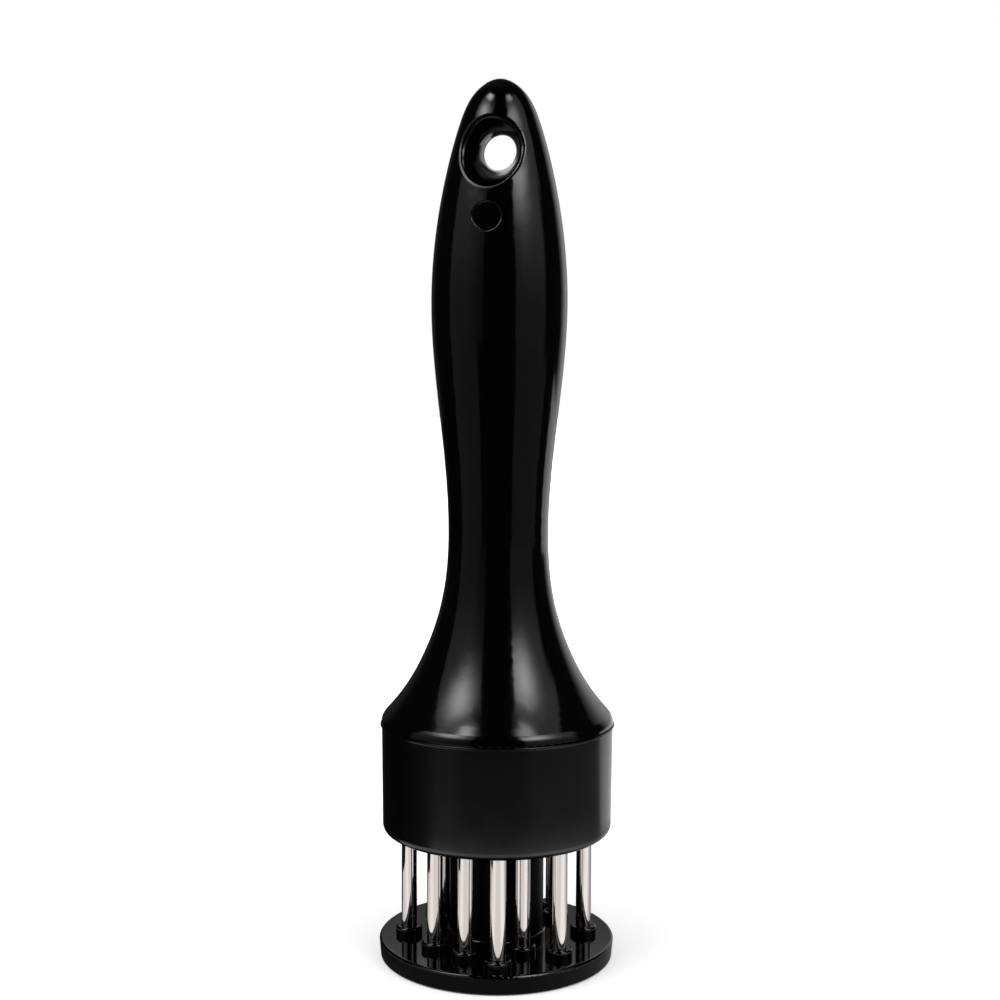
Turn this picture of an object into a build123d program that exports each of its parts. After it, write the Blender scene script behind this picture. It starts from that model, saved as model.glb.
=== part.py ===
"""Plunger meat tenderizer: a turned handle drives a cluster of pins through a sprung guard disc."""

import os
from math import cos, radians, sin

from build123d import *

os.makedirs("parts", exist_ok=True)

# Sizes in millimetres. Z is up along the tool and the guard disc rests on Z = 0.
# The handle's hanging hole runs along Y, with its front mouth towards -Y.

# Collar: the cup below the handle that carries the pins. The disc and the bell follow its radius
COLLAR_R = 26.1
COLLAR_DRAFT = 0.25
COLLAR_HEIGHT = 24.7
COLLAR_WALL = 2.3
COLLAR_FLOOR = 4.5
COLLAR_BASE_EDGE = 1.8
BEAD_RIM = 0.35
BEAD_HEIGHT = 0.7
BEAD_EDGE = 0.2

# Guard disc, which stands a little proud of the collar
DISC_RIM = 0.6
DISC_DRAFT = 0.4
DISC_THICK = 4.5
DISC_EDGE = 0.6
BOSS_R = 3.0
BOSS_HEIGHT = 1.85
BOSS_EDGE = 0.6

# Travel of the guard disc, and the gap left above its bosses when it is fully up
STROKE = 20.0
END_GAP = 2.55

# Pins: steel, headed at the top and pointed below
PIN_R = 1.75
PIN_HEAD_R = 2.25
PIN_HEAD_THICK = 1.5
PIN_POINT = 3.5
PIN_TIP_R = 0.35
TIP_COVER = 1.0

# Rings that the pins stand on: three set in from the collar's rim, one set out from the tube
WIDE_RING_INSET = 4.7
OUTER_RING_INSET = 6.2
MIDDLE_RING_INSET = 9.1
INNER_RING_OUTSET = 2.9

# Angles of the pins on each ring, in degrees
WIDE_ANGLES = (63.5, 283.5)
OUTER_ANGLES = (13.5, 116.5, 146.5, 193.5, 326.5)
MIDDLE_ANGLES = (47.5, 84.5, 229.0, 259.0)
INNER_ANGLES = (127.5, 165.5, 307.5)

# Clamp plate over the pin heads
PLATE_THICK = 2.0
PLATE_GAP = 0.2

# Guide tube that rises from the disc, with its stop flange and its foot
TUBE_R = 10.7
TUBE_WALL = 1.5
TUBE_REACH = 13.15
TUBE_SEAT = 2.0
TUBE_FLOOR = 3.0
FLANGE_RIM = 1.9
FLANGE_THICK = 2.2
SOCKET_RIM = 0.6
POST_R = 3.4
POST_HEIGHT = 7.0

# Handle: radius and height of each point that its outline passes through
BELL_RIM = 0.1
LIP_R = 3.0
LIP_TURN = 43.0
LIP_EDGE = 0.3
HANDLE_LENGTH = 142.9
# Radius, and rise above the seam, of the points up the bell's flare
FLARE = ((20.4, 8.7), (16.45, 16.1), (13.76, 23.3), (12.09, 30.6))
WAIST_R = 11.2
WAIST_RISE = 43.35
SWELL_R = 12.9
SWELL_RISE = 66.6
GRIP_R = 15.1
GRIP_RISE = 93.15
SHOULDER_R = 13.76
SHOULDER_DROP = 31.0
# Radius, and drop below the tip, of the points round the crown
CROWN = ((11.69, 20.0), (8.82, 9.6), (5.21, 2.7))

# Inside of the handle: a hollow bell, the spring's bore, and a slim core above it
BELL_WALL = 3.2
SPIGOT_WALL = 2.0
SPIGOT_LENGTH = 4.0
SPRING_BORE_CLEAR = 0.6
SPRING_BORE_RISE = 39.75
BORE_LEAD = 1.0
CORE_R = 5.8
CORE_TOP_R = 5.0
CORE_LENGTH = 62.0
COLUMN_R = 3.2

# Hanging hole through the handle, narrow in the middle and flared at both mouths
HANG_DROP = 16.0
HANG_R = 3.95
HANG_LAND = 1.6
# Growth in radius, and run along the bore, of the points up each flare
HANG_FLARE = ((1.15, 5.2), (3.25, 10.0), (5.95, 14.0))
HANG_LIP = 0.9

# Round recess at the moulding gate, level with the handle's shoulder, with a nub on its floor
GATE_R = 3.1
GATE_DEPTH = 1.0
GATE_RIM_EDGE = 0.3
GATE_FLOOR_EDGE = 0.15
GATE_NUB_R = 0.55
GATE_NUB_HEIGHT = 0.25

# Screws: three up through the collar, one up through the disc
SCREW_R = 1.5
SCREW_HEAD_R = 2.75
SCREW_LENGTH = 22.0
SCREW_RING_INSET = 7.3
SCREW_ANGLES = (100.5, 211.5, 350.5)
DISC_SCREW_R = 1.5
DISC_SCREW_HEAD_R = 2.7
DISC_SCREW_LENGTH = 9.0
DRIVE_R = 1.1
DRIVE_DEPTH = 1.0

# Return spring and the washer it bears on
SPRING_WIRE = 1.4
SPRING_CLEAR = 1.1
SPRING_TURNS = 18
WASHER_THICK = 1.0
WASHER_HOLE_R = 5.0

# Clearances on radius
RUN = 0.08
SEAT = 0.03
LOOSE = 0.2

# Levels worked out from the sizes above
BOSS_TOP = DISC_THICK + BOSS_HEIGHT
COLLAR_BASE = BOSS_TOP + STROKE + END_GAP
FLOOR_TOP = COLLAR_BASE + COLLAR_FLOOR
PLATE_TOP = FLOOR_TOP + PLATE_THICK
SEAM = COLLAR_BASE + COLLAR_HEIGHT
TIP = SEAM + HANDLE_LENGTH
TUBE_BASE = DISC_THICK - TUBE_SEAT
TUBE_TOP = PLATE_TOP + FLANGE_THICK + TUBE_REACH
SPRING_BASE = TUBE_BASE + TUBE_FLOOR
NECK = SEAM + FLARE[2][1]
BORE_TOP = SEAM + SPRING_BORE_RISE
WASHER_BASE = BORE_TOP - WASHER_THICK
HANG_Z = TIP - HANG_DROP
GATE_Z = TIP - SHOULDER_DROP
GATE_FLOOR = SHOULDER_R - GATE_DEPTH

# Radii worked out from the sizes above
DISC_R = COLLAR_R + DISC_RIM
BELL_R = COLLAR_R + BELL_RIM
COLLAR_INNER_R = COLLAR_R - COLLAR_WALL
TUBE_INNER_R = TUBE_R - TUBE_WALL
SPIGOT_R = COLLAR_INNER_R - SEAT
SPIGOT_INNER_R = SPIGOT_R - SPIGOT_WALL
SPRING_OUTER_R = TUBE_INNER_R - SPRING_CLEAR
SPRING_R = SPRING_OUTER_R - SPRING_WIRE / 2
SPRING_BORE_R = SPRING_OUTER_R + SPRING_BORE_CLEAR
SCREW_RING_R = COLLAR_R - SCREW_RING_INSET
PIN_RINGS = (
    (COLLAR_R - WIDE_RING_INSET, WIDE_ANGLES),
    (COLLAR_R - OUTER_RING_INSET, OUTER_ANGLES),
    (COLLAR_R - MIDDLE_RING_INSET, MIDDLE_ANGLES),
    (TUBE_R + INNER_RING_OUTSET, INNER_ANGLES),
)


def polar(radius, degrees):
    """A point in the plan view."""
    return (radius * cos(radians(degrees)), radius * sin(radians(degrees)))


PINS = [polar(ring, angle) for ring, angles in PIN_RINGS for angle in angles]
SCREWS = [polar(SCREW_RING_R, angle) for angle in SCREW_ANGLES]
UPWARD = (Align.CENTER, Align.CENTER, Align.MIN)


def save(piece, name):
    """Label a finished piece and write it."""
    piece.part.label = name
    export_step(piece.part, f"parts/{name}.step")


# Guard disc: drafted rim, a boss round every pin, a low ring round the tube's socket
with BuildPart() as guard_disc:
    with BuildSketch(Plane.XZ):
        with BuildLine():
            Polyline(
                (0, 0), (DISC_R - DISC_DRAFT, 0), (DISC_R, DISC_THICK), (0, DISC_THICK), close=True
            )
        make_face()
    revolve(axis=Axis.Z)
    fillet(guard_disc.edges().filter_by(GeomType.CIRCLE), DISC_EDGE)
    with BuildSketch(Plane.XY.offset(DISC_THICK)):
        Circle(TUBE_R + SOCKET_RIM)
        with Locations(PINS):
            Circle(BOSS_R)
    extrude(amount=BOSS_HEIGHT)
    fillet(guard_disc.faces().filter_by(Axis.Z).group_by(Axis.Z)[-1].edges(), BOSS_EDGE)
    with BuildSketch(Plane.XY.offset(TUBE_BASE)):
        Circle(TUBE_R + SEAT)
    extrude(amount=BOSS_TOP, mode=Mode.SUBTRACT)
    with BuildSketch():
        with Locations(PINS):
            Circle(PIN_R + RUN)
    extrude(amount=BOSS_TOP, mode=Mode.SUBTRACT)
    with BuildSketch():
        Circle(DISC_SCREW_R + LOOSE)
    extrude(amount=TUBE_BASE, mode=Mode.SUBTRACT)
    with BuildSketch(Plane.XZ):
        with BuildLine():
            Polyline(
                (0, 0), (DISC_SCREW_HEAD_R + SEAT, 0), (0, DISC_SCREW_HEAD_R + SEAT), close=True
            )
        make_face()
    revolve(axis=Axis.Z, mode=Mode.SUBTRACT)
save(guard_disc, "guard_disc")


# Guide tube: closed foot with a screw post, stop flange that rests on the clamp plate
with BuildPart() as guide_tube:
    with BuildSketch(Plane.XZ):
        with BuildLine():
            Polyline(
                (0, TUBE_BASE),
                (TUBE_R, TUBE_BASE),
                (TUBE_R, PLATE_TOP),
                (TUBE_R + FLANGE_RIM, PLATE_TOP),
                (TUBE_R + FLANGE_RIM, PLATE_TOP + FLANGE_THICK),
                (TUBE_R, PLATE_TOP + FLANGE_THICK),
                (TUBE_R, TUBE_TOP),
                (TUBE_INNER_R, TUBE_TOP),
                (TUBE_INNER_R, SPRING_BASE),
                (POST_R, SPRING_BASE),
                (POST_R, SPRING_BASE + POST_HEIGHT),
                (0, SPRING_BASE + POST_HEIGHT),
                close=True,
            )
        make_face()
    revolve(axis=Axis.Z)
    with BuildSketch(Plane.XY.offset(TUBE_BASE)):
        Circle(DISC_SCREW_R + SEAT)
    extrude(amount=DISC_SCREW_LENGTH - TUBE_BASE + LOOSE, mode=Mode.SUBTRACT)
save(guide_tube, "guide_tube")


def countersunk_screw(x, y, base, shank_r, head_r, length):
    """A flat-headed screw that points up, its head flush with the level it enters at."""
    with Locations((x, y, base)):
        Cone(head_r, shank_r, head_r - shank_r, align=UPWARD)
        Cylinder(shank_r, length, align=UPWARD)
        Cylinder(DRIVE_R, DRIVE_DEPTH, align=UPWARD, mode=Mode.SUBTRACT)


with BuildPart() as disc_screw:
    countersunk_screw(0, 0, 0, DISC_SCREW_R, DISC_SCREW_HEAD_R, DISC_SCREW_LENGTH)
save(disc_screw, "disc_screw")

with BuildPart() as collar_screws:
    for x, y in SCREWS:
        countersunk_screw(x, y, COLLAR_BASE, SCREW_R, SCREW_HEAD_R, SCREW_LENGTH)
save(collar_screws, "collar_screws")


# Collar: drafted cup with a thick floor, bored for the tube, the pins and the screws
with BuildPart() as collar:
    with BuildSketch(Plane.XZ):
        with BuildLine():
            Polyline(
                (0, COLLAR_BASE),
                (COLLAR_R - COLLAR_DRAFT, COLLAR_BASE),
                (COLLAR_R, SEAM - BEAD_HEIGHT),
                (COLLAR_R + BEAD_RIM, SEAM - BEAD_HEIGHT / 2),
                (COLLAR_R + BEAD_RIM, SEAM),
                (0, SEAM),
                close=True,
            )
        make_face()
    revolve(axis=Axis.Z)
    base_and_top = collar.edges().filter_by(GeomType.CIRCLE).sort_by(Axis.Z)
    fillet(base_and_top[0], COLLAR_BASE_EDGE)
    fillet(base_and_top[-1], BEAD_EDGE)
    with BuildSketch(Plane.XY.offset(FLOOR_TOP)):
        Circle(COLLAR_INNER_R)
    extrude(amount=SEAM - FLOOR_TOP, mode=Mode.SUBTRACT)
    with BuildSketch(Plane.XY.offset(COLLAR_BASE)):
        Circle(TUBE_R + RUN)
        with Locations(PINS):
            Circle(PIN_R + SEAT)
        with Locations(SCREWS):
            Circle(SCREW_R + SEAT)
    extrude(amount=COLLAR_FLOOR, mode=Mode.SUBTRACT)
    with BuildSketch(Plane.XY.offset(FLOOR_TOP)):
        with Locations(PINS):
            Circle(PIN_HEAD_R + SEAT)
    extrude(amount=-PIN_HEAD_THICK, mode=Mode.SUBTRACT)
    with Locations([(x, y, COLLAR_BASE) for x, y in SCREWS]):
        Cone(
            SCREW_HEAD_R + SEAT, SCREW_R + SEAT, SCREW_HEAD_R - SCREW_R,
            align=UPWARD, mode=Mode.SUBTRACT,
        )
save(collar, "collar")


# Clamp plate: holds the pin heads down in the collar's floor
with BuildPart() as clamp_plate:
    with BuildSketch(Plane.XY.offset(FLOOR_TOP)):
        Circle(COLLAR_INNER_R - PLATE_GAP)
        Circle(TUBE_R + RUN, mode=Mode.SUBTRACT)
        with Locations(SCREWS):
            Circle(SCREW_R + LOOSE, mode=Mode.SUBTRACT)
    extrude(amount=PLATE_THICK)
save(clamp_plate, "clamp_plate")


# Pins: one node each, their heads in the floor's counterbores, their points inside the disc
HEAD_BASE = FLOOR_TOP - PIN_HEAD_THICK
SHANK_BASE = TIP_COVER + PIN_POINT
for number, (x, y) in enumerate(PINS, start=1):
    with BuildPart() as pin:
        with Locations((x, y, TIP_COVER)):
            Cone(PIN_TIP_R, PIN_R, PIN_POINT, align=UPWARD)
        with Locations((x, y, SHANK_BASE)):
            Cylinder(PIN_R, HEAD_BASE - SHANK_BASE, align=UPWARD)
        with Locations((x, y, HEAD_BASE)):
            Cylinder(PIN_HEAD_R, PIN_HEAD_THICK, align=UPWARD)
    save(pin, f"pin_{number:02d}")


# Hollow of the handle, less the screw columns that stay standing in it
with BuildPart() as hollow:
    with BuildSketch(Plane.XZ):
        with BuildLine():
            flare = [(SPIGOT_INNER_R, SEAM)]
            flare += [(radius - BELL_WALL, SEAM + rise) for radius, rise in FLARE[:2]]
            flare += [(SPRING_BORE_R + BORE_LEAD, NECK)]
            Spline(flare)
            Polyline(
                flare[-1],
                (SPRING_BORE_R, NECK + BORE_LEAD),
                (SPRING_BORE_R, BORE_TOP),
                (CORE_R, BORE_TOP),
                (CORE_TOP_R, BORE_TOP + CORE_LENGTH),
                (0, BORE_TOP + CORE_LENGTH),
                (0, SEAM),
                flare[0],
            )
        make_face()
    revolve(axis=Axis.Z)
    with BuildSketch(Plane.XY.offset(SEAM)):
        with Locations(SCREWS):
            Circle(COLUMN_R)
    extrude(amount=NECK - SEAM, mode=Mode.SUBTRACT)


# Handle: bell, waist, grip and crown in one outline, with the spigot and screw columns below
with BuildPart() as handle:
    with BuildSketch(Plane.XZ):
        with BuildLine():
            turn = radians(LIP_TURN)
            lip_x = BELL_R - LIP_EDGE
            widest = (BELL_R, SEAM + LIP_EDGE)
            RadiusArc((lip_x, SEAM), widest, -LIP_EDGE)
            lip_end = (
                BELL_R - LIP_R * (1 - cos(turn)), SEAM + LIP_EDGE + LIP_R * sin(turn)
            )
            TangentArc(widest, lip_end, tangent=(0, 1))
            outline = [lip_end]
            outline += [(radius, SEAM + rise) for radius, rise in FLARE]
            outline += [(WAIST_R, SEAM + WAIST_RISE), (SWELL_R, SEAM + SWELL_RISE)]
            outline += [(GRIP_R, SEAM + GRIP_RISE), (SHOULDER_R, TIP - SHOULDER_DROP)]
            outline += [(radius, TIP - drop) for radius, drop in CROWN]
            outline += [(0, TIP)]
            Spline(outline, tangents=[(-sin(turn), cos(turn)), (-1, 0)], tangent_scalars=[1, 1])
            Polyline((0, TIP), (0, SEAM), (lip_x, SEAM))
        make_face()
    revolve(axis=Axis.Z)
    with BuildSketch(Plane.XY.offset(SEAM)):
        Circle(SPIGOT_R)
        Circle(SPIGOT_INNER_R, mode=Mode.SUBTRACT)
    extrude(amount=-SPIGOT_LENGTH)
    add(hollow.part, mode=Mode.SUBTRACT)
    with BuildSketch(Plane.XY.offset(PLATE_TOP)):
        with Locations(SCREWS):
            Circle(COLUMN_R)
    extrude(amount=SEAM - PLATE_TOP)
    with BuildSketch(Plane.XY.offset(PLATE_TOP)):
        with Locations(SCREWS):
            Circle(SCREW_R + SEAT)
    extrude(amount=COLLAR_BASE + SCREW_LENGTH + LOOSE - PLATE_TOP, mode=Mode.SUBTRACT)

    # Hanging hole: one flared bore about the Y axis
    hang = Plane(origin=(0, 0, HANG_Z), x_dir=(0, 1, 0), z_dir=(1, 0, 0))
    with BuildSketch(hang):
        with BuildLine():
            half = HANG_LAND / 2
            front = [(half, HANG_R)] + [(run, HANG_R + growth) for growth, run in HANG_FLARE]
            back = [(-run, radius) for run, radius in front]
            Spline(front, tangents=[(1, 0), (1, 1)], tangent_scalars=[1, 1])
            Spline(back, tangents=[(-1, 0), (-1, 1)], tangent_scalars=[1, 1])
            Line(front[0], back[0])
            Polyline(front[-1], (front[-1][0], 0), (back[-1][0], 0), back[-1])
        make_face()
    revolve(axis=Axis(origin=(0, 0, HANG_Z), direction=(0, 1, 0)), mode=Mode.SUBTRACT)
    rims = handle.edges(Select.LAST).filter_by(lambda edge: edge.is_closed)
    fillet(rims.filter_by(GeomType.CIRCLE, reverse=True), HANG_LIP)

    # Gate recess: flat-floored, with a nub in its middle
    with BuildSketch(Plane.XZ.offset(GATE_FLOOR)):
        with Locations((0, GATE_Z)):
            Circle(GATE_R)
    extrude(amount=GRIP_R - GATE_FLOOR, mode=Mode.SUBTRACT)
    recess = handle.edges(Select.LAST).filter_by(lambda edge: edge.is_closed)
    fillet(recess.filter_by(GeomType.CIRCLE), GATE_FLOOR_EDGE)
    fillet(recess.filter_by(GeomType.CIRCLE, reverse=True), GATE_RIM_EDGE)
    with BuildSketch(Plane.XZ.offset(GATE_FLOOR)):
        with Locations((0, GATE_Z)):
            Circle(GATE_NUB_R)
    extrude(amount=GATE_NUB_HEIGHT)
save(handle, "handle")


# Washer that the spring's upper end bears on, against the shoulder of its bore
with BuildPart() as spring_washer:
    with BuildSketch(Plane.XY.offset(WASHER_BASE)):
        Circle(SPRING_BORE_R - SEAT)
        Circle(WASHER_HOLE_R, mode=Mode.SUBTRACT)
    extrude(amount=WASHER_THICK)
save(spring_washer, "spring_washer")


# Return spring: one round wire from the tube's floor up to the washer
COIL_BASE = SPRING_BASE + SPRING_WIRE / 2
COIL_HEIGHT = WASHER_BASE - SPRING_BASE - SPRING_WIRE
with BuildPart() as return_spring:
    with BuildLine() as coil:
        Helix(COIL_HEIGHT / SPRING_TURNS, COIL_HEIGHT, SPRING_R, center=(0, 0, COIL_BASE))
    with BuildSketch(Plane(coil.line @ 0, z_dir=coil.line % 0)):
        Circle(SPRING_WIRE / 2)
    sweep(path=coil.line)
save(return_spring, "return_spring")

# Least gap between one turn of the spring and the next, measured on points along the wire
SAMPLES = 24
wire = [coil.line @ (step / (SAMPLES * SPRING_TURNS)) for step in range(SAMPLES * SPRING_TURNS + 1)]
between_turns = [
    (wire[i] - wire[j]).length
    for i in range(len(wire))
    for j in range(i + SAMPLES // 2, min(i + 2 * SAMPLES, len(wire)))
]
print(f"spring: least gap to itself {min(between_turns) - SPRING_WIRE:.2f} mm")
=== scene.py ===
# %% [markdown]
# # A plunger meat tenderizer
# This tool stands on a round guard disc. Pressing the black handle pushes fourteen
# sharpened steel pins through the disc and into the meat, and a spring lifts it again.
# The solids were made in CAD and come in as a fixed frame: nothing here moves or reshapes
# them. What this file adds is the surfaces, the coil spring and the screws as they are
# made, and a small studio to photograph the tool in.

import math

import bmesh
import bpy
from mathutils import Matrix, Vector


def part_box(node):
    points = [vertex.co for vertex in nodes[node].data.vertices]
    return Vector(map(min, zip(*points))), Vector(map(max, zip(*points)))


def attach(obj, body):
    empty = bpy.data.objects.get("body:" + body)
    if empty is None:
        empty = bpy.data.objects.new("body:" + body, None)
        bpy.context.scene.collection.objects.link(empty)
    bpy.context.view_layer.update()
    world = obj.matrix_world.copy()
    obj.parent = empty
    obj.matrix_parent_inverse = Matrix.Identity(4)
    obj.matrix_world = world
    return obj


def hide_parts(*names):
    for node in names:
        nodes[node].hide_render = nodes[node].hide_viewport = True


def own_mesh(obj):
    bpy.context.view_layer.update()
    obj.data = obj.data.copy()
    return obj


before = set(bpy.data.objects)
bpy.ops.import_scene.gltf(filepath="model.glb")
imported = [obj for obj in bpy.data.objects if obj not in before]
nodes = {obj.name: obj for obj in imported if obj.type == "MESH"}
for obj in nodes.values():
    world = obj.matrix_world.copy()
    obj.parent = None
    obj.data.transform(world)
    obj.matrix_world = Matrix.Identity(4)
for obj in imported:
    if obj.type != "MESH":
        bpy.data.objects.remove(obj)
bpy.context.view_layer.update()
MM = 0.001

# %% [markdown]
# ## Helpers for every material
# Colours are written as sRGB hex values, but Blender mixes light in linear numbers,
# so one function turns the first into the second by the curve of the sRGB standard. A
# second one adds a node with its settings and joins its inputs, so that a pattern reads
# as a short list of steps. A third starts a material with its main shader.

# %% Colours and nodes
def linear(hex_colour):
    """An sRGB hex colour such as #1a1a1b as linear RGBA."""
    channels = [int(hex_colour[at:at + 2], 16) / 255 for at in (1, 3, 5)]
    return [c / 12.92 if c <= 0.04045 else ((c + 0.055) / 1.055) ** 2.4 for c in channels] + [1]


def add(tree, kind, inputs=(), **settings):
    """A new node. Each input is a number, a vector or another node's output socket."""
    node = tree.nodes.new(kind)
    for name, value in settings.items():
        setattr(node, name, value)
    for name, value in dict(inputs).items():
        if isinstance(value, bpy.types.NodeSocket):
            tree.links.new(value, node.inputs[name])
        else:
            node.inputs[name].default_value = value
    return node


def start_material(name, colour, **sockets):
    """A material with its main shader; what is the same all over is set on the shader."""
    material = bpy.data.materials.new(name)
    material.use_nodes = True
    shader = material.node_tree.nodes["Principled BSDF"]
    shader.inputs["Base Color"].default_value = linear(colour)
    for socket, value in sockets.items():
        shader.inputs[socket.replace("_", " ")].default_value = value
    return material, material.node_tree, shader


WHITE_PAPER = "#f4f4f4"
print("white paper in linear light:", [round(c, 4) for c in linear(WHITE_PAPER)])

# %% [markdown]
# ## Handle: glossy moulded ABS
# The handle is moulded in a polished steel mould, which leaves a glossy black skin with
# the slightest unevenness where the plastic has cooled and drawn in. Use adds hair-fine
# scuffs, which show only where a lamp is mirrored. ABS bends light with an IOR near 1.54.
# One recipe serves every smooth black piece: they differ in how slow and deep the waves
# are and how dull the scuffs. Real scuffs are a few hundredths of a millimetre wide, and
# are drawn here about a millimetre wide, because finer ones wouldn't show.

# %% Handle material
ABS_BLACK, ABS_IOR = "#020203", 1.54
SCUFF_STRETCH = (1, 1, 0.25)        # four times as long up the part as across it
SCUFF_FROM, SCUFF_TO = 0.35, 0.75   # values of the noise where scuffing starts and is full


def moulded_abs(name, wave_mm, wave_depth_mm, rough, scuff_mm, **sockets):
    """Black ABS: slow waves of cooling as a bump, and scuffs along the part as roughness."""
    material, tree, shader = start_material(name, ABS_BLACK, IOR=ABS_IOR, **sockets)
    place = add(tree, "ShaderNodeTexCoord").outputs["Object"]
    wave = add(tree, "ShaderNodeTexNoise", {
        "Vector": place, "Scale": 1 / (wave_mm * MM), "Detail": 1.0})
    bump = add(tree, "ShaderNodeBump", {
        "Height": wave.outputs["Fac"], "Strength": 1.0, "Distance": wave_depth_mm * MM})
    tree.links.new(bump.outputs["Normal"], shader.inputs["Normal"])
    stretched = add(tree, "ShaderNodeMapping", {"Vector": place, "Scale": SCUFF_STRETCH})
    scuffs = add(tree, "ShaderNodeTexNoise", {
        "Vector": stretched.outputs["Vector"], "Scale": 1 / (scuff_mm * MM), "Detail": 4.0,
        "Roughness": 0.7})
    dulled = add(tree, "ShaderNodeMapRange", {
        "Value": scuffs.outputs["Fac"], "From Min": SCUFF_FROM, "From Max": SCUFF_TO,
        "To Min": rough[0], "To Max": rough[1]})
    tree.links.new(dulled.outputs["Result"], shader.inputs["Roughness"])
    return material


glossy_abs = moulded_abs(
    "glossy_moulded_abs", wave_mm=9, wave_depth_mm=0.004, rough=(0.08, 0.14), scuff_mm=1.2)
print("made", glossy_abs.name)

# %% [markdown]
# ## Collar: satin moulded ABS
# The collar's mould was spark eroded instead of polished. That leaves a skin of tiny
# craters, which spreads every reflection to a soft grey sheen, and handling polishes it
# unevenly in patches the size of a fingertip. The real craters are about a tenth of a
# millimetre across. They are drawn two and a half times as wide, so that they show.

# %% Collar material
CRATER_MM, CRATER_DEPTH_MM, PATCH_MM = 0.25, 0.002, 6
NOISE_LOW, NOISE_HIGH = 0.3, 0.7    # most of a noise's values lie between these
satin_abs, tree, shader = start_material("spark_textured_abs", ABS_BLACK, IOR=ABS_IOR)
place = add(tree, "ShaderNodeTexCoord").outputs["Object"]
craters = add(tree, "ShaderNodeTexNoise", {
    "Vector": place, "Scale": 1 / (CRATER_MM * MM), "Detail": 2.0})
bump = add(tree, "ShaderNodeBump", {
    "Height": craters.outputs["Fac"], "Strength": 0.5, "Distance": CRATER_DEPTH_MM * MM})
tree.links.new(bump.outputs["Normal"], shader.inputs["Normal"])
patches = add(tree, "ShaderNodeTexNoise", {
    "Vector": place, "Scale": 1 / (PATCH_MM * MM), "Detail": 3.0})
worn = add(tree, "ShaderNodeMapRange", {
    "Value": patches.outputs["Fac"], "From Min": NOISE_LOW, "From Max": NOISE_HIGH,
    "To Min": 0.14, "To Max": 0.20})
tree.links.new(worn.outputs["Result"], shader.inputs["Roughness"])
print("made", satin_abs.name)

# %% [markdown]
# ## Guard disc and guide tube
# The disc is the same black ABS, polished harder than the handle on its upper face. The
# tube slides in the collar at every stroke, so it is duller and scuffed along. It stands
# in the shade of the pins and shows hardly any gloss, so its specular level is low too.

# %% Disc and tube materials
disc_abs = moulded_abs(
    "polished_moulded_abs", wave_mm=5, wave_depth_mm=0.002, rough=(0.05, 0.10), scuff_mm=0.8)
tube_abs = moulded_abs(
    "sliding_moulded_abs", wave_mm=7, wave_depth_mm=0.003, rough=(0.30, 0.40), scuff_mm=0.7,
    Specular_IOR_Level=0.03)
print("made", disc_abs.name, tube_abs.name)

# %% [markdown]
# ## Pins: ground stainless steel
# Each pin is ground between wheels from drawn stainless bar and then polished, so it
# mirrors the studio in long stripes. What is left of the drawing marks runs along it and
# blurs them a little. One recipe makes all the metals here: a noise stretched along the
# marks drives both the roughness and a tiny relief. Real marks are a few hundredths of a
# millimetre apart, and are drawn half a millimetre apart so that they show.

# %% Pin material
def metal(name, colour, rough, grain_mm, stretch, depth_mm, detail=3.0):
    """Metal whose roughness and tiny relief follow one stretched grain."""
    material, tree, shader = start_material(name, colour, Metallic=1.0)
    place = add(tree, "ShaderNodeTexCoord").outputs["Object"]
    drawn = add(tree, "ShaderNodeMapping", {"Vector": place, "Scale": stretch})
    grain = add(tree, "ShaderNodeTexNoise", {
        "Vector": drawn.outputs["Vector"], "Scale": 1 / (grain_mm * MM), "Detail": detail})
    dulled = add(tree, "ShaderNodeMapRange", {
        "Value": grain.outputs["Fac"], "From Min": NOISE_LOW, "From Max": NOISE_HIGH,
        "To Min": rough[0], "To Max": rough[1]})
    tree.links.new(dulled.outputs["Result"], shader.inputs["Roughness"])
    bump = add(tree, "ShaderNodeBump", {
        "Height": grain.outputs["Fac"], "Strength": 0.5, "Distance": depth_mm * MM})
    tree.links.new(bump.outputs["Normal"], shader.inputs["Normal"])
    return material


pin_steel = metal(
    "ground_stainless_steel", "#dad2ce", rough=(0.03, 0.07), grain_mm=0.5,
    stretch=(1, 1, 0.05), depth_mm=0.0001, detail=1.0)
print("made", pin_steel.name)

# %% [markdown]
# ## Inner steel: zinc, stamped sheet and spring wire
# The screws are zinc plated, which gives a bluish and slightly cloudy metal. The clamp
# plate and the washer are stamped from rolled sheet, and the spring is coiled from drawn
# wire, darker because of the drawing soap that stays on it. Their grain too is drawn
# coarser than the real one, at 0.3 to 0.5 mm.

# %% Inner metals
zinc = metal(
    "zinc_plated_steel", "#c3c7ca", rough=(0.25, 0.38), grain_mm=0.5, stretch=(1, 1, 1),
    depth_mm=0.006)
sheet_steel = metal(
    "stamped_sheet_steel", "#b9b8b6", rough=(0.25, 0.36), grain_mm=0.4, stretch=(1, 0.08, 1),
    depth_mm=0.004)
spring_wire = metal(
    "drawn_spring_wire", "#a3a2a0", rough=(0.22, 0.34), grain_mm=0.3, stretch=(1, 1, 0.3),
    depth_mm=0.003)
print("made", zinc.name, sheet_steel.name, spring_wire.name)

# %% [markdown]
# ## Finishes on the CAD pieces
# A CAD piece keeps its shape and gets only a finish, by putting a material in its slots.
# The spring and the screws get theirs as well, though fuller meshes take their place
# further down, so that no piece is ever bare.

# %% Give the CAD nodes their materials
FINISHES = {
    "handle": glossy_abs, "collar": satin_abs, "guard_disc": disc_abs, "guide_tube": tube_abs,
    "clamp_plate": sheet_steel, "spring_washer": sheet_steel, "return_spring": spring_wire,
    "collar_screws": zinc, "disc_screw": zinc,
}
for name, node in nodes.items():
    finish = pin_steel if name.startswith("pin_") else FINISHES[name]
    for slot in node.material_slots:
        slot.material = finish
print("finishes given to", len(nodes), "nodes")

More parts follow.
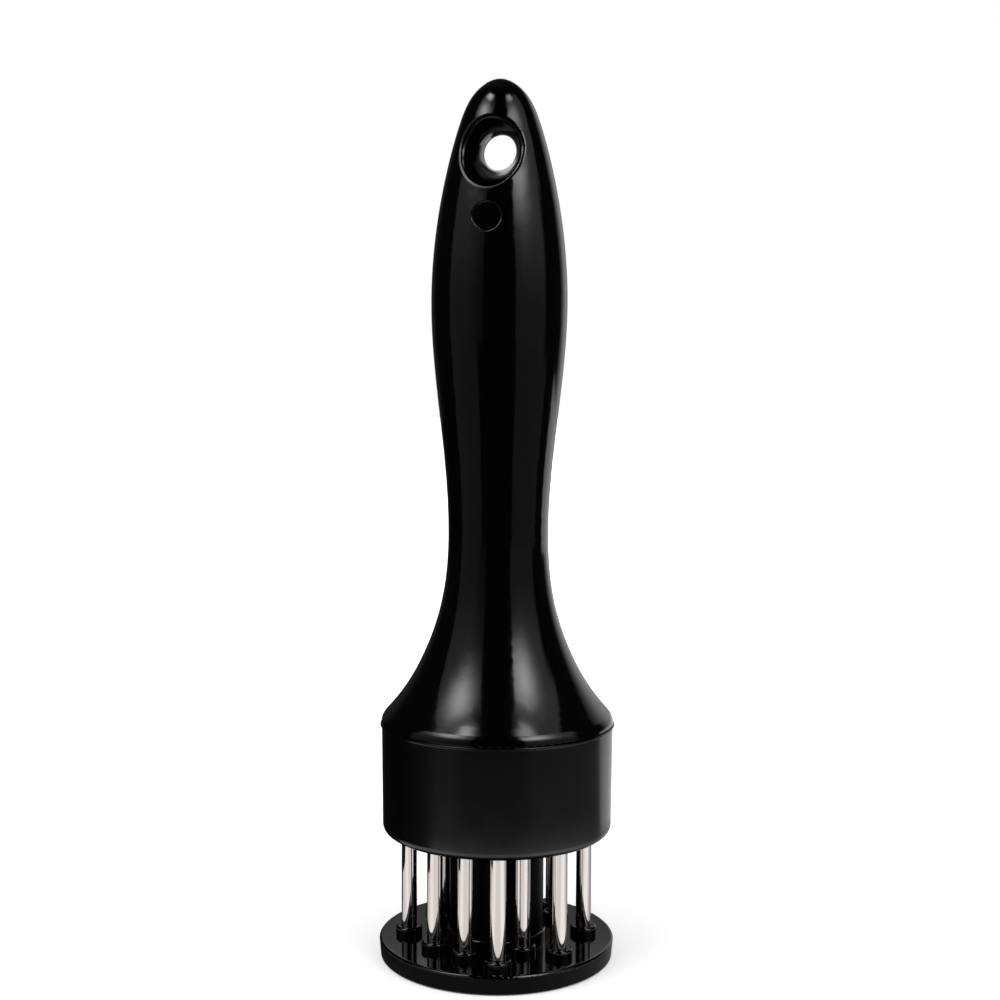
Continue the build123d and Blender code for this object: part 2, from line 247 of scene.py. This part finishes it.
# %% [markdown]
# ## Meshes from plain lists
# The spring and the screws are both loops of points, each joined to the next by a band of
# faces. One helper makes the faces, and another the object. Writing the lists out gives
# the real shape directly, where a curve with a bevel would leave its ends unground.

# %% A skin over loops of points
def skin(first, loops, around):
    """Faces that join each loop of points to the next, with the two end loops closed."""
    faces = []
    for loop in range(loops - 1):
        start = first + loop * around
        for at in range(around):
            a, b = start + at, start + (at + 1) % around
            faces.append((a, b, b + around, a + around))
    last = first + (loops - 1) * around
    return faces + [tuple(range(first, first + around)), tuple(range(last, last + around))]


def mesh_piece(name, vertices, faces, material, smooth=True):
    """A new object from plain lists, with its faces turned outwards."""
    mesh = bpy.data.meshes.new(name)
    mesh.from_pydata(vertices, [], faces)
    shape = bmesh.new()
    shape.from_mesh(mesh)
    bmesh.ops.recalc_face_normals(shape, faces=shape.faces)
    shape.to_mesh(mesh)
    shape.free()
    mesh.polygons.foreach_set("use_smooth", [smooth] * len(mesh.polygons))
    mesh.materials.append(material)
    piece = bpy.data.objects.new(name, mesh)
    bpy.context.scene.collection.objects.link(piece)
    return piece


print("two loops of four points make", len(skin(0, 2, 4)), "faces")

# %% [markdown]
# ## The coil spring
# A compression spring is wound from wire with its last turns closed up on themselves and
# ground flat, so that it stands square. The CAD solid is an even helix, so this mesh takes
# its place with closed ends. First comes the line that the middle of the wire follows.

# %% Where the wire runs
WIRE = 1.4 * MM
TURNS = 18
CLOSED_TURNS = 1.25
CLOSED_GAP = 1.02       # closed turns lie this many wires apart, so they don't fuse
spring_low, spring_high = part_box("return_spring")
coil_r = spring_high.x - WIRE / 2
coil_base = spring_low.z + WIRE / 2
coil_rise = spring_high.z - spring_low.z - WIRE


def coil_height(turn):
    """Height of the wire's centre after so many turns: closed ends, open middle."""
    closed_rise = CLOSED_TURNS * WIRE * CLOSED_GAP
    if turn < CLOSED_TURNS:
        return closed_rise * turn / CLOSED_TURNS
    if turn > TURNS - CLOSED_TURNS:
        return coil_rise - closed_rise * (TURNS - turn) / CLOSED_TURNS
    share = (turn - CLOSED_TURNS) / (TURNS - 2 * CLOSED_TURNS)
    return closed_rise + (coil_rise - 2 * closed_rise) * share


def coil_point(turn):
    """The wire's centre after so many turns."""
    angle = 2 * math.pi * turn
    height = coil_base + coil_height(turn)
    return Vector((coil_r * math.cos(angle), coil_r * math.sin(angle), height))


print("coil radius, mm:", round(coil_r / MM, 2))

# %% [markdown]
# Then a ring of points goes along that line, square to it at every step. Points that
# would stand past the two ends are pressed flat on them, which is what grinding does.

# %% Sweep the spring
STEPS_PER_TURN = 48
RING = 14               # points round the wire
NUDGE = 0.01            # turns to each side, to find which way the wire runs
vertices = []
steps = TURNS * STEPS_PER_TURN
for step in range(steps + 1):
    turn = step / STEPS_PER_TURN
    centre = coil_point(turn)
    out = Vector((centre.x, centre.y, 0)).normalized()
    along = (coil_point(turn + NUDGE) - coil_point(turn - NUDGE)).normalized()
    up = along.cross(out)
    for at in range(RING):
        angle = 2 * math.pi * at / RING
        point = centre + (out * math.cos(angle) + up * math.sin(angle)) * WIRE / 2
        point.z = min(max(point.z, spring_low.z), spring_high.z)
        vertices.append(point)
faces = skin(0, steps + 1, RING)
coil_spring = mesh_piece("coil_spring", vertices, faces, spring_wire)
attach(coil_spring, "handle_unit")
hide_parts("return_spring")
print("spring:", TURNS, "turns,", len(faces), "faces")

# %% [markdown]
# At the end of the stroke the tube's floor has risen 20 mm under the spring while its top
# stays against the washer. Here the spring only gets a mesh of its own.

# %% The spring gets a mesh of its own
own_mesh(coil_spring)

# %% [markdown]
# ## The screws
# A countersunk screw is cold-headed: one blow upsets the end of the wire into a cone and
# another stamps the cross recess, before the thread is rolled into the shank. The CAD
# heads have a plain socket, so these meshes bring the cross. It could be cut out of the
# cone, but loops of points that follow a cross at the mouth give cleaner faces.

# %% The cross recess
CROSS_ARM, CROSS_WIDE = 0.62, 0.2   # an arm's reach and half its width, in head radii
LEAST_SINE = 0.01                   # keeps the wall of an arm finite right along it


def cross_reach(angle, head_r):
    """How far the cross recess reaches from the middle in one direction."""
    folded = (angle + math.pi / 4) % (math.pi / 2) - math.pi / 4
    arm, half_wide = CROSS_ARM * head_r, CROSS_WIDE * head_r
    return min(arm / math.cos(folded), half_wide / max(abs(math.sin(folded)), LEAST_SINE))


print("a cross reaches", round(cross_reach(0, 1), 2), "of the head's radius along an arm and",
      round(cross_reach(math.pi / 4, 1), 2), "between two")

# %% [markdown]
# A screw's outline is turned like a lathe's work: the flat rim of the head, the cone down
# to the shank, then a crest, a flank and a root for every pitch, and a chamfered end. The
# ridges run straight round instead of climbing, which can't be told apart at this size.

# %% A screw's loops
SCREW_AROUND = 48
SHANK_R = 1.5 * MM                  # an M3 screw, with the pitch that goes with it
PITCH = 0.5 * MM
THREAD = ((0, 0), (0.12, 0), (0.25, 0.16), (0.37, 0.16))    # rise and cut in mm, one pitch
HEAD_SLANT = math.radians(45)
HEAD_RIM = 0.06 * MM
END_PLAIN, END_CHAMFER = 0.4 * MM, 0.3 * MM
CROSS_DEPTH, CROSS_FLOOR = 0.75, 0.7    # share of the head's height, and of the mouth
CLOSED_R = 0.02 * MM                # the tiny loop that closes an end
TURNED = [2 * math.pi * at / SCREW_AROUND for at in range(SCREW_AROUND)]


def screw_loops(head_r, length):
    """Loops of (radius, height), from the recess's floor over the head to the far end."""
    head_height = (head_r - SHANK_R) / math.tan(HEAD_SLANT)
    profile = [(head_r, 0), (head_r, HEAD_RIM), (SHANK_R, head_height)]
    height = head_height + PITCH
    while height + PITCH < length - END_PLAIN:
        profile += [(SHANK_R - cut * MM, height + rise * MM) for rise, cut in THREAD]
        height += PITCH
    profile += [(SHANK_R, height), (SHANK_R - END_CHAMFER, length), (CLOSED_R, length)]
    depth = head_height * CROSS_DEPTH
    reaches = [cross_reach(angle, head_r) for angle in TURNED]
    recess = [
        [(CLOSED_R, depth)] * SCREW_AROUND,
        [(CROSS_FLOOR * reach, depth) for reach in reaches],
        [(reach, 0) for reach in reaches]]
    return recess + [[point] * SCREW_AROUND for point in profile]


print("an M3 screw of 9 mm:", len(screw_loops(2.7 * MM, 9 * MM)), "loops")

# %% [markdown]
# One screw holds the guide tube to the disc from below, and three hold the collar and the
# clamp plate to the handle. They stand where the CAD has them, heads down, and are as
# long as their nodes.

# %% Turn the screws
def screw_mesh(name, centres, head_r, body, replaced):
    """Countersunk screws in the place of a node, with their recesses facing down."""
    low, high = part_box(replaced)
    loops = screw_loops(head_r, high.z - low.z)
    vertices, faces = [], []
    for cx, cy in centres:
        faces += skin(len(vertices), len(loops), SCREW_AROUND)
        for loop in loops:
            for angle, (radius, rise) in zip(TURNED, loop):
                x, y = cx + radius * math.cos(angle), cy + radius * math.sin(angle)
                vertices.append((x, y, low.z + rise))
    screws = mesh_piece(name, vertices, faces, zinc, smooth=False)
    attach(screws, body)
    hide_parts(replaced)
    print(name, "with", len(faces), "faces")


screw_mesh("disc_screw_with_cross", [(0, 0)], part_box("disc_screw")[1].x, "guard", "disc_screw")
COLLAR_HEAD_R = 2.75 * MM
SCREW_RING = 18.8 * MM
SCREW_ANGLES = [math.radians(angle) for angle in (100.5, 211.5, 350.5)]
centres = [(SCREW_RING * math.cos(a), SCREW_RING * math.sin(a)) for a in SCREW_ANGLES]
screw_mesh("collar_screws_with_cross", centres, COLLAR_HEAD_R, "handle_unit", "collar_screws")

# %% [markdown]
# ## The camera
# The photograph was taken from a little above and about 35 cm away, with a normal lens.
# The tool's front is turned 12.5 degrees from it. The camera's place and angles were
# worked out from the outline of the handle and the ellipses of the disc and collar.

# %% Camera
TURN, TILT, ROLL = 12.5, 85.27, 0.29
CAMERA_AT = (0.07683, -0.34495, 0.1331)
camera_data = bpy.data.cameras.new("camera")
camera_data.lens = 57.0
camera_data.sensor_width = 36.0
camera = bpy.data.objects.new("camera", camera_data)
bpy.context.scene.collection.objects.link(camera)
camera.matrix_world = (
    Matrix.Translation(CAMERA_AT)
    @ Matrix.Rotation(math.radians(TURN), 4, "Z")
    @ Matrix.Rotation(math.radians(TILT), 4, "X")
    @ Matrix.Rotation(math.radians(ROLL), 4, "Z"))
bpy.context.scene.camera = camera
print("camera at, mm:", [round(c / MM) for c in camera.location])

# %% [markdown]
# ## The studio
# A glossy black thing shows nothing but what it mirrors, so its look is made by what
# stands round it. This one stood between two diffusers, each a sheet of tracing paper
# with a lamp behind it that makes a hot spot, with a dark room between them behind the
# camera, and a white sheet behind it to the right. They are cards here that only
# reflections see. Directions are given as an azimuth, which is 0 at the camera and grows
# to the right, and an elevation above the floor.

# %% Places in the studio
TENT_R = 1.2        # metres, from the tool to every upright card
TENT_Z = 0.065      # height of the bell, which the cards stand round


def on_floor(azimuth, radius):
    """A point on the floor by its azimuth and its distance from the tool."""
    angle = math.radians(azimuth + TURN)
    return Vector((radius * math.sin(angle), -radius * math.cos(angle), 0))


def in_tent(azimuth, elevation):
    """A point of the tent, a dome round the bell, by its direction from there."""
    level = math.radians(elevation)
    return on_floor(azimuth, TENT_R * math.cos(level)) + Vector(
        (0, 0, TENT_Z + TENT_R * math.sin(level)))


print("tent radius, m:", TENT_R)

# %% [markdown]
# Tracing paper in front of a lamp is brightest where the lamp is and fades away from it.
# A card is therefore a grid of points that each carry a brightness, and one material
# turns that into light. Blender blends it smoothly between the points.

# %% A card of the studio
card_glow = bpy.data.materials.new("lit_tracing_paper")
card_glow.use_nodes = True
tree = card_glow.node_tree
tree.nodes.clear()
painted = add(tree, "ShaderNodeAttribute", attribute_name="glow")
shining = add(tree, "ShaderNodeEmission", {"Strength": painted.outputs["Fac"]})
add(tree, "ShaderNodeOutputMaterial", {"Surface": shining.outputs["Emission"]})


def card(name, columns, rows, place, brightness):
    """A grid of points from two lists of numbers, each shining by its own brightness."""
    points = [(a, b) for a in columns for b in rows]
    count = len(rows)
    faces = [
        (c * count + r, c * count + r + 1, (c + 1) * count + r + 1, (c + 1) * count + r)
        for c in range(len(columns) - 1) for r in range(count - 1)]
    sheet = mesh_piece(name, [place(*point) for point in points], faces, card_glow, smooth=False)
    levels = sheet.data.attributes.new("glow", "FLOAT", "POINT")
    levels.data.foreach_set("value", [brightness(*point) for point in points])
    sheet.visible_camera = sheet.visible_diffuse = False
    sheet.visible_transmission = sheet.visible_shadow = False


def spread(low, high, step):
    """Evenly spaced numbers from low to high, both among them."""
    count = max(1, round((high - low) / step))
    return [low + (high - low) * at / count for at in range(count + 1)]


print("made", card_glow.name)

# %% [markdown]
# The light on a card is written with two shapes. One steps smoothly from one brightness
# to the next at given angles, as the edge of a shadow does. The other is a round spot
# that fades away on all sides, as the light of a lamp through paper does.

# %% Smooth steps and hot spots
def shade(x, *stops):
    """Brightness at x from (angle, brightness) stops, with a smooth step between two."""
    value = stops[0][1]
    for (start, before), (end, after) in zip(stops, stops[1:]):
        share = min(max((x - start) / (end - start), 0), 1)
        value += (after - before) * share * share * (3 - 2 * share)
    return value


def hot_spot(offset, below, above, power=2):
    """1 in the middle of a spot, 0.37 at its width, which may differ on its two sides."""
    return math.exp(-abs(offset / (below if offset < 0 else above)) ** power)


print("half way up a step from 0.2 to 1:", round(shade(5, (0, 0.2), (10, 1)), 2))

# %% [markdown]
# ### Diffusers
# Both sheets darken towards the table and the dark room and end about 65 degrees up.
# Their lamps hang at different heights, and where a lamp looks over the upper edge of its
# sheet there is a bright strip. The right sheet is cut short low down at its far side.

# %% Two diffusers
PAPER_END = ((58, 1), (70, 0))
STRIP_RISE = ((59, 0), (64, 1), (68, 1), (72, 0))
STRIP_EDGE = 4      # how abruptly a strip ends at its sides; 2 is the soft edge of a lamp


def lamp_light(azimuth, elevation, peak, at, left, right, below, above, edge):
    """A lamp's hot spot through the paper, with a width to each side in degrees."""
    across = hot_spot(azimuth - at[0], left, right)
    return peak * across * hot_spot(elevation - at[1], below, above, edge)


def strip_light(azimuth, elevation, peak, at, width):
    """The bright strip over a sheet's upper edge."""
    across = hot_spot(azimuth - at, width, width, STRIP_EDGE)
    return peak * across * shade(elevation, *STRIP_RISE)


def left_diffuser(azimuth, elevation):
    paper = shade(elevation, (3, 0.13), (30, 0.30)) * shade(-azimuth, (27, 0.4), (60, 1))
    return (
        paper * shade(elevation, *PAPER_END)
        + lamp_light(azimuth, elevation, peak=5.4, at=(-58, 46), left=18.5, right=18.5,
                     below=10.5, above=9, edge=2.6)
        + strip_light(azimuth, elevation, peak=6.5, at=-64, width=20))


def right_diffuser(azimuth, elevation):
    paper = 0.15 + shade(elevation, (3, 0), (28, 0.28)) * shade(azimuth, (27, 0.2), (45, 1))
    paper *= 1 - shade(azimuth, (80, 0), (87, 1)) * shade(elevation, (22, 1), (34, 0))
    return (
        paper * shade(elevation, *PAPER_END)
        + lamp_light(azimuth, elevation, peak=5.6, at=(43, 40), left=20, right=17,
                     below=11, above=11.5, edge=2.3)
        + strip_light(azimuth, elevation, peak=4.0, at=53, width=16))


print("brightest paper, left and right:",
      round(left_diffuser(-58, 46), 2), round(right_diffuser(43, 40), 2))

# %% [markdown]
# ### Dark room, walls and white sheets
# Between the diffusers the camera looks out of a dark room, which gives the tool its deep
# black middle. The walls at the sides are dim. The white sheet behind on the right gives
# the thin bright line along the tool's right side, and the one at the back is what flat
# upper faces mirror, such as the disc's.

# %% Stand the cards round the tool
def dark_room(azimuth, elevation):
    return 0.001


def wall(azimuth, elevation):
    return shade(-azimuth, (135, 0.01), (150, 0.04))


def right_sheet(azimuth, elevation):
    sheet = shade(azimuth, (121, 0.01), (147, 0.7), (153, 0.7), (163, 0.4))
    return sheet * shade(elevation, (30, 1), (40, 0.03))


def back_sheet(azimuth, elevation):
    return shade(elevation, (17, 0.16), (22, 1), (32, 1), (40, 0.03))


HORIZON, ZENITH = -3.1, 90
CARD_STEP = 3
HEIGHTS = spread(HORIZON, ZENITH, CARD_STEP)
for name, start, end, brightness in (
        ("dark_room", -27, 27, dark_room), ("left_diffuser", -91, -27, left_diffuser),
        ("right_diffuser", 27, 92, right_diffuser), ("left_wall", -165, -91, wall),
        ("right_wall", 92, 126, wall), ("right_sheet", 126, 165, right_sheet),
        ("back_sheet", 165, 195, back_sheet)):
    card(name, spread(start, end, CARD_STEP), HEIGHTS, in_tent, brightness)
print("cards from", HORIZON, "to", ZENITH, "degrees")

# %% [markdown]
# ### Plate and table
# The tool stands on a white plate on a dark table. The plate is what the pins mirror as
# their bright stripes, and the dark ring close round the disc ends each stripe in a point.
# All of it is one card, flat on the floor: its rows are rings round the tool, and the
# table below gives how bright they are and how far the plate reaches at each azimuth.

# %% Plate and table
CORE_R = 0.001
# outer radii in metres of the foot, the dark ring, the plate and the near table
FOOT_R, GAP_R, PLATE_R, NEAR_R = 0.038, 0.041, 0.115, 0.25
GAP_LIGHT, SHADOW_LIGHT = 0.02, 0.01    # the dark ring, and the plate's shadow beside it
SHARP = 0.0002                          # width of the border between two rings
LIFT = Vector((0, 0, 0.0004))           # keeps the card clear of the floor
TABLE_STEP = 4
# Round the back, from 167 to -106 degrees, plate and table are dim: painted shadow of the tool.
# azimuth, brightness of foot and plate, reach of the plate, brightness of near and far table
TABLE = (
    (-145, 0.01, 0.02, 0.078, 0.01, 0.005), (-106, 0.01, 0.02, 0.078, 0.01, 0.005),
    (-100, 0.01, 0.8, 0.078, 0.01, 0.005), (-92, 0.015, 0.8, 0.080, 0.02, 0.005),
    (-90, 0.015, 0.8, 0.080, 0.02, 0.12), (-70, 0.035, 0.9, 0.086, 0.05, 0.12),
    (-58, 0.07, 1.1, 0.114, 0.15, 0.11), (-39, 0.09, 1.2, 0.114, 0.16, 0.11),
    (-37, 0.09, 1.1, 0.114, 0.11, 0.004), (-15, 0.1, 0.9, 0.114, 0.1, 0.004),
    (15, 0.1, 0.9, 0.114, 0.1, 0.004), (29, 0.14, 1.1, 0.114, 0.11, 0.004),
    (31, 0.15, 1.2, 0.114, 0.16, 0.12), (60, 0.17, 1.2, 0.114, 0.16, 0.12),
    (75, 0.16, 0.9, 0.114, 0.16, 0.12), (91, 0.18, 0.6, 0.114, 0.155, 0.12),
    (93, 0.18, 0.5, 0.114, 0.15, 0.01), (110, 0.19, 0.3, 0.114, 0.15, 0.01),
    (115, 0.2, 0.35, 0.114, 0.2, 0.01), (118, 0.2, 0.5, 0.114, 0.8, 0.9),
    (163, 0.2, 0.5, 0.114, 0.8, 0.9), (167, 0.02, 0.02, 0.114, 0.02, 0.02),
    (215, 0.02, 0.02, 0.114, 0.02, 0.02))


def rings(azimuth):
    """Radius and brightness of each ring's borders, from under the tool outwards."""
    before, after = next(pair for pair in zip(TABLE, TABLE[1:]) if azimuth <= pair[1][0])
    share = (azimuth - before[0]) / (after[0] - before[0])
    foot, plate, reach, near, far = (
        a + (b - a) * share for a, b in zip(before[1:], after[1:]))
    return (
        (CORE_R, foot), (FOOT_R, foot), (FOOT_R + SHARP, GAP_LIGHT), (GAP_R, GAP_LIGHT),
        (GAP_R + SHARP, plate), (reach, plate), (reach + SHARP, SHADOW_LIGHT),
        (PLATE_R, SHADOW_LIGHT), (PLATE_R + SHARP, near), (NEAR_R, near),
        (NEAR_R + SHARP, far), (TENT_R, far))


first, last = TABLE[0][0], TABLE[-1][0]
card("plate_and_table",
     sorted({row[0] for row in TABLE} | set(spread(first, last, TABLE_STEP))),
     range(len(rings(first))),
     lambda azimuth, ring: on_floor(azimuth, rings(azimuth)[ring][0]) + LIFT,
     lambda azimuth, ring: rings(azimuth)[ring][1])
print("plate from", GAP_R, "to", PLATE_R, "m")

# %% [markdown]
# ### Lamps
# The lamps behind the diffusers light everything that isn't a mirror. Their power is set
# so that white paper at the tool comes out close to white, without clipping.

# %% Lamps
LAMP_AWAY = 0.9                         # metres from the tool
LAMP_TARGET = Vector((0, 0, 0.1))       # half way up the tool
RADIANCE = 3.0


def lamp(name, azimuth, elevation, half_wide, half_tall):
    """An area lamp that faces the tool, sized by the angles it fills."""
    data = bpy.data.lights.new(name, "AREA")
    data.shape = "RECTANGLE"
    data.size = 2 * LAMP_AWAY * math.tan(math.radians(half_wide))
    data.size_y = 2 * LAMP_AWAY * math.tan(math.radians(half_tall))
    data.energy = math.pi * data.size * data.size_y * RADIANCE
    light = bpy.data.objects.new(name, data)
    bpy.context.scene.collection.objects.link(light)
    level = math.radians(elevation)
    light.location = LAMP_TARGET + on_floor(azimuth, LAMP_AWAY * math.cos(level)) + Vector(
        (0, 0, LAMP_AWAY * math.sin(level)))
    facing = (LAMP_TARGET - light.location).to_track_quat("-Z", "Y")
    light.rotation_euler = facing.to_euler()
    light.visible_camera = light.visible_glossy = False
    print(name, "energy", round(data.energy, 2), "W")


lamp("lamp_left", azimuth=-58, elevation=45, half_wide=18, half_tall=13)
lamp("lamp_right", azimuth=45, elevation=40, half_wide=16, half_tall=13)

# %% [markdown]
# ## Floor
# The floor is pale paper. The camera, and mirrors and glass, see it white by a little
# glow of its own that grows away from the tool, where the lamps no longer reach, and the
# shadow of the tool still darkens it. Light Path tells what kind of ray looks at it.

# %% Floor
FLOOR_R, FLOOR_SIDES = 4.0, 64
GLOW_FROM, GLOW_TO = (0.03, 0.3), (0.35, 1.0)   # metres from the tool, and strength there


def seen(tree):
    """1 for what the camera, a mirror or glass sees, and 0 for light that falls on it."""
    rays = add(tree, "ShaderNodeLightPath").outputs
    mirrored = add(tree, "ShaderNodeMath", {
        0: rays["Is Camera Ray"], 1: rays["Is Glossy Ray"]}, operation="ADD")
    through = add(tree, "ShaderNodeMath", {
        0: mirrored.outputs["Value"], 1: rays["Is Transmission Ray"]},
        operation="ADD", use_clamp=True)
    return through.outputs["Value"]


floor_paper, tree, shader = start_material(
    "white_paper_sweep", WHITE_PAPER, Roughness=0.9, Specular_IOR_Level=0.0)
shader.inputs["Emission Color"].default_value = (1, 1, 1, 1)
away = add(tree, "ShaderNodeVectorMath", {
    0: add(tree, "ShaderNodeTexCoord").outputs["Object"]}, operation="LENGTH")
growing = add(tree, "ShaderNodeMapRange", {
    "Value": away.outputs["Value"], "From Min": GLOW_FROM[0], "From Max": GLOW_TO[0],
    "To Min": GLOW_FROM[1], "To Max": GLOW_TO[1]})
glow = add(tree, "ShaderNodeMath", {
    0: seen(tree), 1: growing.outputs["Result"]}, operation="MULTIPLY")
tree.links.new(glow.outputs["Value"], shader.inputs["Emission Strength"])
rim = [on_floor(360 * at / FLOOR_SIDES, FLOOR_R) for at in range(FLOOR_SIDES)]
floor = mesh_piece("floor", rim, [tuple(range(FLOOR_SIDES))], floor_paper, smooth=False)
print("floor radius", FLOOR_R, "m")

# %% [markdown]
# ## World
# The background is plain white to the camera and in mirrors, where a strength of 1 is
# white. As light on the tool it is weaker, so that white things don't clip.

# %% World
AMBIENT = 0.7
world = bpy.data.worlds.new("studio_world")
bpy.context.scene.world = world
world.use_nodes = True
tree = world.node_tree
background = tree.nodes["Background"]
strength = add(tree, "ShaderNodeMapRange", {
    "Value": seen(tree), "To Min": AMBIENT, "To Max": 1.0})
tree.links.new(strength.outputs["Result"], background.inputs["Strength"])
background.inputs["Color"].default_value = (1, 1, 1, 1)
bpy.context.scene.view_settings.view_transform = "Standard"
print("ambient", AMBIENT)
